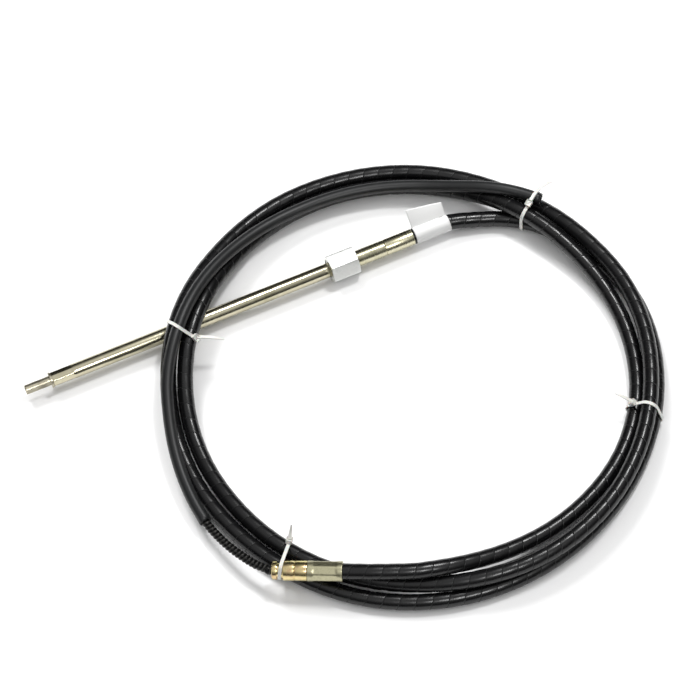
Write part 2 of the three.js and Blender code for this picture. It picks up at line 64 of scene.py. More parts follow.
# The cord's way: degrees clockwise from +X, radius from the coil's middle, height
CONDUIT_WAY = [
    (-79, 0.2043, 0.0143), (-72, 0.2155, 0.0116), (-66, 0.2260, 0.0104), (-60, 0.2355, 0.0103),
    (-54, 0.2420, 0.0098), (-45, 0.2485, 0.0085), (-36, 0.2545, 0.0085), (-25, 0.2595, 0.0085),
    (-12, 0.2585, 0.0092), (5, 0.2540, 0.0103), (20, 0.2490, 0.0090), (40, 0.2440, 0.0085),
    (60, 0.2420, 0.0085), (80, 0.2420, 0.0085), (100, 0.2430, 0.0086), (124, 0.2440, 0.0103),
    (140, 0.2460, 0.0090), (150, 0.2485, 0.0086), (160, 0.2510, 0.0095), (170, 0.2540, 0.0140),
    (180, 0.2563, 0.0220), (190, 0.2578, 0.0314), (198, 0.2583, 0.0334), (206, 0.2593, 0.0305),
    (216, 0.2623, 0.0205), (226, 0.2664, 0.0125), (236, 0.2690, 0.0090), (250, 0.2686, 0.0086),
    (270, 0.2664, 0.0086), (284, 0.2625, 0.0096), (296, 0.2575, 0.0140), (304, 0.2542, 0.0218),
    (311, 0.2526, 0.0255), (320, 0.2524, 0.0267), (332, 0.2535, 0.0270), (346, 0.2518, 0.0268),
    (360, 0.2485, 0.0268), (376, 0.2460, 0.0270), (395, 0.2435, 0.0266), (416, 0.2388, 0.0259),
    (428, 0.2347, 0.0251), (440, 0.2298, 0.0209), (452, 0.2260, 0.0160), (470, 0.2250, 0.0135),
    (490, 0.2265, 0.0120), (505, 0.2287, 0.0103), (520, 0.2330, 0.0094), (530, 0.2362, 0.0140),
    (540, 0.2386, 0.0220), (550, 0.2400, 0.0314), (558, 0.2405, 0.0334), (566, 0.2415, 0.0305),
    (576, 0.2445, 0.0205), (586, 0.2485, 0.0125), (596, 0.2505, 0.0090), (610, 0.2506, 0.0086),
    (628, 0.2485, 0.0088), (638, 0.2460, 0.0108), (646, 0.2425, 0.0168), (653, 0.2385, 0.0246),
    (660, 0.2355, 0.0288), (668, 0.2345, 0.0275), (676, 0.2344, 0.0238), (688, 0.2358, 0.0168),
    (700, 0.2367, 0.0117), (712, 0.2360, 0.0103), (724, 0.2342, 0.0105), (739.5, 0.2291, 0.0105),
    (751, 0.2236, 0.0103), (760, 0.2192, 0.0104), (770, 0.2153, 0.0120), (780, 0.2128, 0.0160),
    (789.5, 0.2126, 0.0219), (797.8, 0.2145, 0.0284), (804, 0.2170, 0.0325),
    (810, 0.2195, 0.0340), (820.4, 0.2243, 0.0342),
]
WAY_STEP = 5                      # degrees of coil between the points of the smooth line
WAY_TRIM = 10                     # degrees left at each end of the way for the straight ends
OUTPUT_STRAIGHT = 0.044
HELM_STRAIGHT = 0.030
OUTPUT_HEADING = math.radians(24.6)
HELM_HEADING = math.radians(177.5)
HELM_DIP = math.radians(3.5)
OUTPUT_END_IN_COIL = Vector((0, 0.182, 0.0143))
HELM_END_IN_COIL = Vector((-0.0703, -0.2193, 0.0324))
NUT_MIDDLE_ALONG = -0.083

nut_joint = next(joint for joint in frame["joints"] if joint["name"] == "nut_turn")
output_line = Vector((math.cos(OUTPUT_HEADING), math.sin(OUTPUT_HEADING), 0))
output_end = Vector(nut_joint["pos_m"]) - output_line * NUT_MIDDLE_ALONG
coil_middle = output_end - OUTPUT_END_IN_COIL
helm_end = coil_middle + HELM_END_IN_COIL
helm_turn = Matrix.Rotation(HELM_HEADING, 4, "Z") @ Matrix.Rotation(HELM_DIP, 4, "Y")
helm_line = helm_turn @ Vector((1, 0, 0))


def placed(angle, radius, height):
    """A row of a way as a point of the scene."""
    a = math.radians(-angle)
    return coil_middle + Vector((radius * math.cos(a), radius * math.sin(a), height))


def way_at(way, angle):
    """The way's point at an angle, on a smooth curve through its rows."""
    row = max(next(k for k, place in enumerate(way) if place[0] >= angle), 1)

    def slope(k, n):
        before, after = way[max(k - 1, 0)], way[min(k + 1, len(way) - 1)]
        return (after[n] - before[n]) / (after[0] - before[0])

    start, end = way[row - 1], way[row]
    span = end[0] - start[0]
    u = (angle - start[0]) / span
    values = []
    for n in (1, 2):
        ends = start[n] + (3 * u ** 2 - 2 * u ** 3) * (end[n] - start[n])
        lead = (u ** 3 - 2 * u ** 2 + u) * slope(row - 1, n)
        trail = (u ** 3 - u ** 2) * slope(row, n)
        values.append(ends + (lead + trail) * span)
    return placed(angle, *values)


def along_way(way, first, last):
    """The way's points from one angle to another, both among them."""
    count = round((last - first) / WAY_STEP)
    return [way_at(way, first + (last - first) * k / count) for k in range(count + 1)]


class Route:
    """A smooth line through points, asked for by the distance along it."""

    def __init__(self, points, side=None, cuts=6):
        ends = [points[0] * 2 - points[1], *points, points[-1] * 2 - points[-2]]
        self.points = []
        for p0, p1, p2, p3 in zip(ends, ends[1:], ends[2:], ends[3:]):
            for cut in range(cuts):
                u = cut / cuts
                bend = (p0 * 2 - p1 * 5 + p2 * 4 - p3) * u ** 2
                twist = (p1 * 3 - p0 - p2 * 3 + p3) * u ** 3
                self.points.append(p1 + ((p2 - p0) * u + (bend + twist)) / 2)
        self.points.append(points[-1].copy())
        self.side = side
        self.marks = [0.0]
        for p, q in zip(self.points, self.points[1:]):
            self.marks.append(self.marks[-1] + (q - p).length)
        self.length = self.marks[-1]

    def at(self, along):
        k = min(max(bisect.bisect(self.marks, along) - 1, 0), len(self.points) - 2)
        u = (along - self.marks[k]) / (self.marks[k + 1] - self.marks[k])
        return self.points[k].lerp(self.points[k + 1], u)

    def stand(self, along):
        """The place at a distance along the line, and the directions to its left and up."""
        reach = 0.001
        tangent = (self.at(along + reach) - self.at(along - reach)).normalized()
        left = (self.side or Vector((0, 0, 1)).cross(tangent)).normalized()
        return self.at(along), left, tangent.cross(left)


def lay(bm, route):
    """Carries a shape that was made along +X onto a route."""
    stands = {}
    for vert in bm.verts:
        key = round(vert.co.x, 6)
        if key not in stands:
            stands[key] = route.stand(vert.co.x)
        place, left, up = stands[key]
        vert.co = place + left * vert.co.y + up * vert.co.z


def straight_tube(length, radius_at, sides, steps, pitch):
    """A sheet rolled up along +X. Its UV map counts pitches along it and turns round it."""
    bm = bmesh.new()
    bmesh.ops.create_grid(bm, x_segments=steps, y_segments=sides, size=1)
    layer = bm.loops.layers.uv.new("wrap")
    for vert in bm.verts:
        along, turn = (vert.co.x + 1) / 2 * length, (vert.co.y + 1) / 2
        for loop in vert.link_loops:
            loop[layer].uv = (along / pitch, turn)
        radius = radius_at((along / pitch + turn) % 1)
        vert.co = (along, radius * math.cos(turn * math.tau), radius * math.sin(turn * math.tau))
    bmesh.ops.remove_doubles(bm, verts=bm.verts[:], dist=MERGE_DISTANCE)
    bmesh.ops.recalc_face_normals(bm, faces=bm.faces[:])
    return bm


def close_ends(bm):
    """Closes each open end with one flat face."""
    rims = [edge for edge in bm.edges if edge.is_boundary]
    bmesh.ops.holes_fill(bm, edges=rims, sides=0)


def finished(name, bm, material, body, replaced):
    """Makes a piece's object, smooth but for sharp edges, on its body for its CAD node."""
    for face in bm.faces:
        face.smooth = True
    for edge in bm.edges:
        edge.smooth = not edge.is_manifold or edge.calc_face_angle(0) < SHARP_ANGLE
    mesh = bpy.data.meshes.new(name)
    bm.to_mesh(mesh)
    bm.free()
    mesh.materials.append(material)
    piece = bpy.data.objects.new(name, mesh)
    bpy.context.scene.collection.objects.link(piece)
    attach(piece, body)
    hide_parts(replaced)
    return piece


def linear(hex_colour):
    """An sRGB hex colour as linear red, green, blue and alpha."""
    channels = [int(hex_colour[k:k + 2], 16) / 255 for k in (1, 3, 5)]
    return (*[c / 12.92 if c <= 0.04045 else ((c + 0.055) / 1.055) ** 2.4 for c in channels], 1)


def add_node(tree, kind, settings=None, links=None):
    """Adds a node, sets its own or its sockets' values, and links other outputs to it."""
    node = tree.nodes.new(kind)
    for key, value in (settings or {}).items():
        if isinstance(key, str) and hasattr(node, key):
            setattr(node, key, value)
        else:
            node.inputs[key].default_value = value
    for key, output in (links or {}).items():
        tree.links.new(output, node.inputs[key])
    return node


def new_material(name, values):
    """A material whose shader has these values on its sockets."""
    material = bpy.data.materials.new(name)
    material.use_nodes = True
    shader = material.node_tree.nodes["Principled BSDF"]
    for socket, value in values.items():
        shader.inputs[socket].default_value = value
    return material, material.node_tree, shader


def feed(tree, shader, outputs):
    """Links outputs to the shader's sockets of these names."""
    for socket, output in outputs.items():
        tree.links.new(output, shader.inputs[socket])


def on_object(tree):
    return add_node(tree, "ShaderNodeTexCoord").outputs["Object"]


def noise(tree, vector, scale, detail, roughness=0.5):
    node = add_node(tree, "ShaderNodeTexNoise",
                    {"Scale": scale, "Detail": detail, "Roughness": roughness},
                    {"Vector": vector})
    return node.outputs["Fac"]


def between(tree, share, low, high):
    """Carries a share from 0 to 1 to the range from low to high."""
    node = add_node(tree, "ShaderNodeMapRange", {"To Min": low, "To Max": high},
                    {"Value": share})
    return node.outputs["Result"]


def bumped(tree, height, strength, distance, under=None):
    """The normal of a relief, on top of another one if given."""
    links = {"Height": height, "Normal": under} if under else {"Height": height}
    node = add_node(tree, "ShaderNodeBump", {"Strength": strength, "Distance": distance}, links)
    return node.outputs["Normal"]


def wrap_phase(tree):
    """Where a point of a straight_tube lies in its pitch, from 0 to 1."""
    wrap = add_node(tree, "ShaderNodeUVMap", {"uv_map": "wrap"})
    parts = add_node(tree, "ShaderNodeSeparateXYZ", links={0: wrap.outputs["UV"]})
    count = add_node(tree, "ShaderNodeMath", {"operation": "ADD"},
                     {0: parts.outputs["X"], 1: parts.outputs["Y"]})
    phase = add_node(tree, "ShaderNodeMath", {"operation": "FRACT"}, {0: count.outputs[0]})
    return phase.outputs[0]


def set_ramp(node, stops):
    """Gives a colour ramp its stops: place and grey value, or place and hex colour."""
    elements = node.color_ramp.elements
    while len(elements) < len(stops):
        elements.new(1)
    for element, (place, value) in zip(elements, stops):
        element.position = place
        element.color = linear(value) if isinstance(value, str) else (value, value, value, 1)


# Polyethylene, extruded: black and half glossy, with a faint grain and soft scuffs. The
# step of the wire wrap is one thin dull groove a pitch.
def jacket_material():
    material, tree, shader = new_material(
        "polyethylene_extruded_black",
        {"Base Color": linear(JACKET_BLACK), "IOR": JACKET_IOR})
    place = on_object(tree)
    groove = add_node(tree, "ShaderNodeValToRGB", links={"Fac": wrap_phase(tree)})
    set_ramp(groove, [(0, 0.0), (0.03, 0.8), (0.1, 0.92), (0.9, 1.0), (0.96, 0.95), (1, 0.0)])
    step = bumped(tree, groove.outputs["Color"], strength=0.8, distance=0.0003)
    grain = noise(tree, place, scale=900, detail=3)
    fine = bumped(tree, grain, strength=0.03, distance=0.0001, under=step)
    scuffs = noise(tree, place, scale=45, detail=5, roughness=0.7)
    rough = add_node(tree, "ShaderNodeMath", {"operation": "MAXIMUM"},
                     {0: between(tree, scuffs, 0.14, 0.38),
                      1: between(tree, groove.outputs["Color"], 0.9, 0.0)})
    feed(tree, shader, {"Roughness": rough.outputs[0], "Normal": fine})
    return material


conduit_route = Route([
    output_end, output_end + output_line * OUTPUT_STRAIGHT / 2,
    output_end + output_line * OUTPUT_STRAIGHT,
    *along_way(CONDUIT_WAY, CONDUIT_WAY[0][0] + WAY_TRIM, CONDUIT_WAY[-1][0] - WAY_TRIM),
    helm_end - helm_line * HELM_STRAIGHT, helm_end - helm_line * HELM_STRAIGHT / 2, helm_end,
])
conduit_steps = round(conduit_route.length / WRAP_PITCH * RINGS_PER_WRAP)
bm = straight_tube(
    conduit_route.length, lambda phase: CONDUIT_DIAMETER / 2 - WRAP_SWELL * (2 * phase - 1) ** 2,
    CONDUIT_SIDES, conduit_steps, WRAP_PITCH)
close_ends(bm)
lay(bm, conduit_route)
conduit = finished("conduit_jacket", bm, jacket_material(), "coil", "conduit")


# Output ferrule: turned steel, yellow-passivated zinc plate, crimped on the conduit. A ring
# groove marks its crimp, and its flange holds the coupling nut from the inside.
FIT = 0.0003
TURNED_SEGMENTS = 96
NUT_LENGTH = 0.031
NUT_THREAD_DEPTH = 0.0185
FERRULE_LENGTH = 0.0675
FERRULE_RADIUS = 0.0089
FERRULE_GROOVE_AT = -0.033
FERRULE_GROOVE_WIDTH = 0.0011
FERRULE_GROOVE_DEPTH = 0.0006
FERRULE_EDGE = 0.0005
FERRULE_RIM = 0.00018
GROOVE_WALL = 0.3                 # each wall's share of a ring groove's width
FLANGE_RADIUS = 0.010
FLANGE_WIDTH = 0.003
RAM_BORE_RADIUS = 0.0063
SUPPORT_TUBE_SEAT = 0.018
output_stand = Matrix.Translation(output_end) @ Matrix.Rotation(OUTPUT_HEADING, 4, "Z")

nut_left = -FERRULE_LENGTH - NUT_LENGTH
nut_shoulder = nut_left + NUT_THREAD_DEPTH
flange_right = nut_shoulder - FIT
flange_left = flange_right - FLANGE_WIDTH
seat_end = flange_left + SUPPORT_TUBE_SEAT


def turned(profile, edge=0.0, segments=TURNED_SEGMENTS):
    """A body turned about +X from (along, radius) points. edge rounds its sharp rims."""
    bm = bmesh.new()
    verts = [bm.verts.new((along, radius, 0)) for along, radius in profile]
    for a, b in zip(verts, verts[1:]):
        bm.edges.new((a, b))
    if profile[0][1] > 0:
        bm.edges.new((verts[-1], verts[0]))
    bmesh.ops.spin(
        bm, geom=bm.verts[:] + bm.edges[:], cent=(0, 0, 0), axis=(1, 0, 0),
        dvec=(0, 0, 0), angle=math.tau, steps=segments, use_merge=True)
    bmesh.ops.remove_doubles(bm, verts=bm.verts[:], dist=MERGE_DISTANCE)
    bmesh.ops.recalc_face_normals(bm, faces=bm.faces[:])
    if edge:
        rims = [e for e in bm.edges if e.is_manifold and e.calc_face_angle(0) > SHARP_ANGLE]
        bmesh.ops.bevel(
            bm, geom=rims, offset=edge, segments=2, profile=0.5, affect="EDGES",
            material=-1, clamp_overlap=True)
    return bm


def ring_groove(start, width, radius, depth):
    """A ring groove's four profile points, from its start rightwards."""
    floor = radius - depth
    return [(start, radius), (start + width * GROOVE_WALL, floor),
            (start + width * (1 - GROOVE_WALL), floor), (start + width, radius)]


# Zinc-plated or bare steel, turned: fine rings round the axis from the tool, and a thin
# passivation whose colour wanders from one tone to another.
def steel_material(name, tones, rough, turn, rings=600, cloud=60, relief=0.03):
    material, tree, shader = new_material(name, {"Metallic": 1})
    lined = add_node(tree, "ShaderNodeMapping", {"vector_type": "TEXTURE", "Rotation": turn},
                     {"Vector": on_object(tree)})
    drawn = add_node(tree, "ShaderNodeMapping", {"Scale": (1, 0.04, 0.04)},
                     {"Vector": lined.outputs["Vector"]})
    tool = noise(tree, drawn.outputs["Vector"], scale=rings, detail=4)
    clouds = noise(tree, lined.outputs["Vector"], scale=cloud, detail=4, roughness=0.65)
    colour = add_node(tree, "ShaderNodeValToRGB", links={"Fac": clouds})
    set_ramp(colour, tones)
    feed(tree, shader, {"Base Color": colour.outputs["Color"],
                        "Roughness": between(tree, tool, *rough),
                        "Normal": bumped(tree, tool, strength=relief, distance=0.0001)})
    return material


OUTPUT_TURN = (0, 0, OUTPUT_HEADING)
ferrule_steel = steel_material(
    "steel_zinc_plated_pale_yellow", [(0.3, "#b9b494"), (0.5, "#cdc8ae"), (0.7, "#a9a886")],
    (0.24, 0.3), OUTPUT_TURN)
bm = turned([
    (seat_end, 0), (seat_end, RAM_BORE_RADIUS), (flange_left, RAM_BORE_RADIUS),
    (flange_left, FLANGE_RADIUS), (flange_right, FLANGE_RADIUS), (flange_right, FERRULE_RADIUS),
    *ring_groove(FERRULE_GROOVE_AT - FERRULE_GROOVE_WIDTH, FERRULE_GROOVE_WIDTH,
                 FERRULE_RADIUS, FERRULE_GROOVE_DEPTH),
    (-FIT - FERRULE_EDGE, FERRULE_RADIUS), (-FIT, FERRULE_RADIUS - FERRULE_EDGE), (-FIT, 0),
], edge=FERRULE_RIM)
bm.transform(output_stand)
finished("ferrule", bm, ferrule_steel, "coil", "output_ferrule")


# Support tube: drawn stainless tube, pressed in the ferrule. The ram slides over it, so it
# shows only when the ram is out.
SUPPORT_TUBE_WALL = 0.0018
SUPPORT_TUBE_SHORT = 0.020        # how far it stops short of the end fitting's shank
SUPPORT_TUBE_RIM = 0.0002
SUPPORT_TUBE_SEGMENTS = 64
RAM_LENGTH = 0.3338
END_SHANK_LENGTH = 0.034
ram_right = flange_left - FIT
ram_left = ram_right - RAM_LENGTH
shank_right = ram_left + END_SHANK_LENGTH
support_outer = RAM_BORE_RADIUS - FIT
support_left = shank_right + SUPPORT_TUBE_SHORT
support_right = seat_end - FIT

support_steel = steel_material(
    "stainless_steel_drawn", [(0.3, "#bdbbb2"), (0.7, "#d0cec6")], (0.16, 0.26),
    OUTPUT_TURN)
bm = turned([
    (support_left, support_outer - SUPPORT_TUBE_WALL), (support_left, support_outer),
    (support_right, support_outer), (support_right, support_outer - SUPPORT_TUBE_WALL),
], edge=SUPPORT_TUBE_RIM, segments=SUPPORT_TUBE_SEGMENTS)
bm.transform(output_stand)
finished("support_tube_drawn", bm, support_steel, "coil", "support_tube")


# Ram: polished stainless tube, 5/8 inch. Its far end is pressed to eight flats on the end
# fitting's shank, which leaves soft facets between round stretches.
RAM_RADIUS = 0.00795
RAM_RIM = 0.0003
RAM_CRIMP_LENGTH = 0.025
RAM_CRIMP_FLATS = 0.0148
CRIMP_BLEND = 0.004
CRIMP_SIDES = 8
RING_STEP = 0.001                 # between the rings of a body that is shaped once turned


def stations(start, end, step):
    """Places from start to end about a step apart, both ends among them."""
    count = max(round(abs(end - start) / step), 1)
    return [start + (end - start) * k / count for k in range(count + 1)]


def press_flats(bm, start, end, across, sides, blend, turn=0.0):
    """Presses flats on a turned body between two places, with soft ends."""
    sector = math.tau / sides
    for vert in bm.verts:
        radius = math.hypot(vert.co.y, vert.co.z)
        depth = min(vert.co.x - start, end - vert.co.x) / blend
        if depth <= 0 or radius < MERGE_DISTANCE:
            continue
        angle = math.atan2(vert.co.z, vert.co.y) + turn
        off = (angle + sector / 2) % sector - sector / 2
        flat = across / 2 / math.cos(off)
        if flat < radius:
            ease = min(depth, 1)
            ease = ease * ease * (3 - 2 * ease)
            scale = 1 + (flat / radius - 1) * ease
            vert.co.y *= scale
            vert.co.z *= scale


ram_steel = steel_material(
    "stainless_steel_polished", [(0.3, "#b7b196"), (0.5, "#c4bea6"), (0.7, "#aaa58a")],
    (0.17, 0.25), OUTPUT_TURN, cloud=25)
crimp_right = ram_left + RAM_CRIMP_LENGTH
bm = turned([
    (ram_left, RAM_BORE_RADIUS),
    *[(x, RAM_RADIUS) for x in stations(ram_left, crimp_right + CRIMP_BLEND, RING_STEP)],
    (ram_right, RAM_RADIUS), (ram_right, RAM_BORE_RADIUS),
], edge=RAM_RIM)
press_flats(bm, ram_left - CRIMP_BLEND, crimp_right, RAM_CRIMP_FLATS, CRIMP_SIDES, CRIMP_BLEND,
            turn=math.pi / CRIMP_SIDES)
bm.transform(output_stand)
finished("ram_polished", bm, ram_steel, "ram", "ram_tube")


# End fitting: turned steel rod with a shank in the crimp, a collar, and two milled flats on
# its tip for the steering link.
COLLAR_RADIUS = 0.0085
COLLAR_WIDTH = 0.002
TIP_RADIUS = 0.00535
TIP_FLATS = 0.0078
TIP_LENGTH = 0.028
TIP_CHAMFER = 0.0008
FLAT_BLEND = 0.0006

collar_right = ram_left - FIT
collar_left = collar_right - COLLAR_WIDTH
tip_left = collar_left - TIP_LENGTH
end_steel = steel_material(
    "steel_turned_dull", [(0.3, "#a49e8c"), (0.5, "#b8b29e"), (0.7, "#8d8776")],
    (0.3, 0.4), OUTPUT_TURN)
bm = turned([
    (tip_left, 0), (tip_left, TIP_RADIUS - TIP_CHAMFER), (tip_left + TIP_CHAMFER, TIP_RADIUS),
    *[(x, TIP_RADIUS) for x in stations(tip_left + TIP_CHAMFER * 1.5, collar_left, RING_STEP)],
    (collar_left, COLLAR_RADIUS), (collar_right, COLLAR_RADIUS),
    (collar_right, RAM_BORE_RADIUS - FIT), (shank_right, RAM_BORE_RADIUS - FIT), (shank_right, 0),
])
for vert in bm.verts:
    if vert.co.x < collar_left - FLAT_BLEND:
        vert.co.y = max(-TIP_FLATS / 2, min(TIP_FLATS / 2, vert.co.y))
bm.transform(output_stand)
finished("ram_end_fitting", bm, end_steel, "ram", "ram_end")


# Coupling nut: milled from 1 1/8 inch hexagon steel, zinc plated, both ends chamfered, with
# a 7/8-14 thread in the ram's side. It hangs on the ferrule's flange and turns freely.
NUT_ACROSS_FLATS = 0.0286
NUT_CHAMFER = 0.0016
NUT_EDGE = 0.0004
NUT_THREAD_RADIUS = 0.0105
THREAD_PITCH = 0.0254 / 14
THREAD_DEPTH = 0.0009
nut_right = -FERRULE_LENGTH
nut_corner = NUT_ACROSS_FLATS / 2 / math.cos(math.pi / 6)
nut_bore = FERRULE_RADIUS + FIT


def common(bm, other_bm):
    """What two closed bodies have in common, as a new bmesh."""
    meshes = [bpy.data.meshes.new(name) for name in ("body", "other")]
    body, other = [bpy.data.objects.new(mesh.name, mesh) for mesh in meshes]
    for source, mesh, holder in zip((bm, other_bm), meshes, (body, other)):
        source.to_mesh(mesh)
        source.free()
        bpy.context.scene.collection.objects.link(holder)
    overlap = body.modifiers.new("overlap", "BOOLEAN")
    overlap.operation = "INTERSECT"
    overlap.solver = "EXACT"
    overlap.object = other
    result = bmesh.new()
    result.from_object(body, bpy.context.evaluated_depsgraph_get())
    for holder, mesh in zip((body, other), meshes):
        bpy.data.objects.remove(holder)
        bpy.data.meshes.remove(mesh)
    return result


nut_steel = steel_material(
    "steel_hexagon_zinc_plated", [(0.3, "#e6e7e4"), (0.5, "#f0f1ee"), (0.7, "#dadcd8")],
    (0.36, 0.46), OUTPUT_TURN, rings=300, cloud=90)
blank = bmesh.new()
bmesh.ops.create_cone(
    blank, cap_ends=True, segments=6, radius1=nut_corner, radius2=nut_corner, depth=NUT_LENGTH,
    matrix=Matrix.Translation(((nut_left + nut_right) / 2, 0, 0))
    @ Matrix.Rotation(math.pi / 2, 4, "Y"))
long_edges = [e for e in blank.edges if abs(e.verts[0].co.x - e.verts[1].co.x) > NUT_LENGTH / 2]
bmesh.ops.bevel(blank, geom=long_edges, offset=NUT_EDGE, segments=3, profile=0.5,
                affect="EDGES", material=-1)
bmesh.ops.recalc_face_normals(blank, faces=blank.faces[:])
thread = []
for x in stations(nut_left + THREAD_PITCH, nut_shoulder - THREAD_PITCH, THREAD_PITCH):
    thread += [(x - THREAD_PITCH / 2, NUT_THREAD_RADIUS + THREAD_DEPTH), (x, NUT_THREAD_RADIUS)]
chamfered = turned([
    (nut_left, NUT_THREAD_RADIUS + THREAD_DEPTH), (nut_left, nut_corner - NUT_CHAMFER),
    (nut_left + NUT_CHAMFER / 2, nut_corner + FIT),
    (nut_right - NUT_CHAMFER / 2, nut_corner + FIT),
    (nut_right, nut_corner - NUT_CHAMFER), (nut_right, nut_bore), (nut_shoulder, nut_bore),
    (nut_shoulder, NUT_THREAD_RADIUS), *reversed(thread),
])
bm = common(blank, chamfered)
bmesh.ops.remove_doubles(bm, verts=bm.verts[:], dist=MERGE_DISTANCE)
bm.transform(output_stand)
finished("coupling_nut_hexagon", bm, nut_steel, "nut", "coupling_nut")


# Label: white film stuck round the conduit, its two ends pressed together as a flag that
# leans back. It is bare.
LABEL_LENGTH = 0.0405
LABEL_SET_BACK = 0.0016
LABEL_FILM = 0.0003
LABEL_FLAG = 0.021
LABEL_LEAN = math.radians(48)
FLAG_CURL = 0.0025
FLAG_SKEW = 0.006                 # the flag is cut askew: shorter away from the ferrule
FLAG_ROOT = 0.0005                # how far out of the wrap the flag's first row lies
FLAG_STEP = 0.0015
LABEL_TURN_STEP = 0.12            # radians between the rows of the wrap
LABEL_STEPS = 24
LABEL_WHITE = "#dededd"
label_radius = CONDUIT_DIAMETER / 2 + FIT + LABEL_FILM / 2


# Polypropylene film with a paper-white face: satin, faintly creased
def film_material():
    material, tree, shader = new_material(
        "polypropylene_film_white", {"Base Color": linear(LABEL_WHITE), "Roughness": 0.42})
    creases = noise(tree, on_object(tree), scale=140, detail=3)
    feed(tree, shader, {"Normal": bumped(tree, creases, strength=0.25, distance=0.0006)})
    return material


bm = bmesh.new()
flag_gap = LABEL_FILM * 0.75
turn_start = math.asin(flag_gap / label_radius)
flag_out = stations(label_radius + LABEL_FLAG, label_radius + FLAG_ROOT, FLAG_STEP)
section = [(out, -flag_gap) for out in flag_out]
section += [(label_radius * math.cos(a), -label_radius * math.sin(a))
            for a in stations(turn_start, math.tau - turn_start, LABEL_TURN_STEP)]
section += [(out, flag_gap) for out in reversed(flag_out)]
verts = [bm.verts.new((0, across, out)) for out, across in section]
for a, b in zip(verts, verts[1:]):
    bm.edges.new((a, b))
bmesh.ops.spin(
    bm, geom=bm.verts[:] + bm.edges[:], cent=(0, 0, 0), axis=(1, 0, 0),
    dvec=(LABEL_LENGTH / LABEL_STEPS, 0, 0), angle=0, steps=LABEL_STEPS, use_merge=False)
for vert in bm.verts:
    out = (vert.co.z - label_radius) / LABEL_FLAG
    if out > 0:
        share = vert.co.x / LABEL_LENGTH
        vert.co.y += FLAG_CURL * out ** 2 * (0.5 + 0.5 * math.sin(share * math.pi))
        vert.co.z -= FLAG_SKEW * out * share
bmesh.ops.recalc_face_normals(bm, faces=bm.faces[:])
bm.transform(output_stand @ Matrix.Translation((LABEL_SET_BACK, 0, 0))
             @ Matrix.Rotation(-LABEL_LEAN, 4, "X"))
label = finished("label_film", bm, film_material(), "coil", "label")
film = label.modifiers.new("film", "SOLIDIFY")
film.thickness = LABEL_FILM
film.offset = 0


# Helm sleeve: steel sleeve pressed on the conduit's end with eight flats, plated and dull,
# round at both ends.
SLEEVE_RADIUS = 0.0105
SLEEVE_LENGTH = 0.036
SLEEVE_FLATS = 0.0200
SLEEVE_PLAIN = 0.005
SLEEVE_BLEND = 0.002
SLEEVE_RIM = 0.0003
helm_stand = Matrix.Translation(helm_end) @ helm_turn
HELM_TURN = (0, HELM_DIP, HELM_HEADING)

sleeve_steel = steel_material(
    "steel_crimped_dull_olive", [(0.25, "#a5a284"), (0.5, "#bab698"), (0.75, "#918e74")],
    (0.32, 0.46), HELM_TURN, cloud=170)
bm = turned([
    (FIT, 0), *[(x, SLEEVE_RADIUS) for x in stations(FIT, SLEEVE_LENGTH, RING_STEP)],
    (SLEEVE_LENGTH, 0),
], edge=SLEEVE_RIM)
press_flats(bm, SLEEVE_PLAIN, SLEEVE_LENGTH - SLEEVE_PLAIN, SLEEVE_FLATS, CRIMP_SIDES,
            SLEEVE_BLEND, turn=math.pi / CRIMP_SIDES)
bm.transform(helm_stand)
finished("helm_sleeve_crimped", bm, sleeve_steel, "coil", "helm_crimp_sleeve")


# Helm fitting: turned steel, yellow chromated zinc, with a ring groove, and a neck and head
# that the helm's clip holds. The chromate goes from gold to green and pink.
FITTING_RADIUS = 0.01025
FITTING_LENGTH = 0.0245
FITTING_GROOVE_AT = 0.012
FITTING_GROOVE_WIDTH = 0.0012
FITTING_GROOVE_DEPTH = 0.0006
NECK_RADIUS = 0.0075
NECK_LENGTH = 0.0062
HEAD_RADIUS = 0.0095
HEAD_WIDTH = 0.005
HEAD_CHAMFER = 0.0006
FITTING_RIM = 0.0002

fitting_from = SLEEVE_LENGTH + FIT
fitting_groove = fitting_from + FITTING_GROOVE_AT
neck_from = fitting_from + FITTING_LENGTH
head_from = neck_from + NECK_LENGTH
head_to = head_from + HEAD_WIDTH
chromate = steel_material(
    "steel_yellow_chromated_zinc",
    [(0.3, "#c2b878"), (0.42, "#d8cb90"), (0.52, "#ddca98"), (0.62, "#cfb28a"),
     (0.72, "#bcbb80")],
    (0.18, 0.3), HELM_TURN)
bm = turned([
    (fitting_from, 0), (fitting_from, FITTING_RADIUS),
    *ring_groove(fitting_groove, FITTING_GROOVE_WIDTH, FITTING_RADIUS, FITTING_GROOVE_DEPTH),
    (neck_from - HEAD_CHAMFER, FITTING_RADIUS), (neck_from, FITTING_RADIUS - HEAD_CHAMFER),
    *[(x, NECK_RADIUS) for x in stations(neck_from, head_from, RING_STEP)],
    (head_from, HEAD_RADIUS), (head_to - HEAD_CHAMFER, HEAD_RADIUS),
    (head_to, HEAD_RADIUS - HEAD_CHAMFER), (head_to, 0),
], edge=FITTING_RIM)
bm.transform(helm_stand)
fitting = finished("helm_fitting_chromated", bm, chromate, "coil", "helm_fitting")


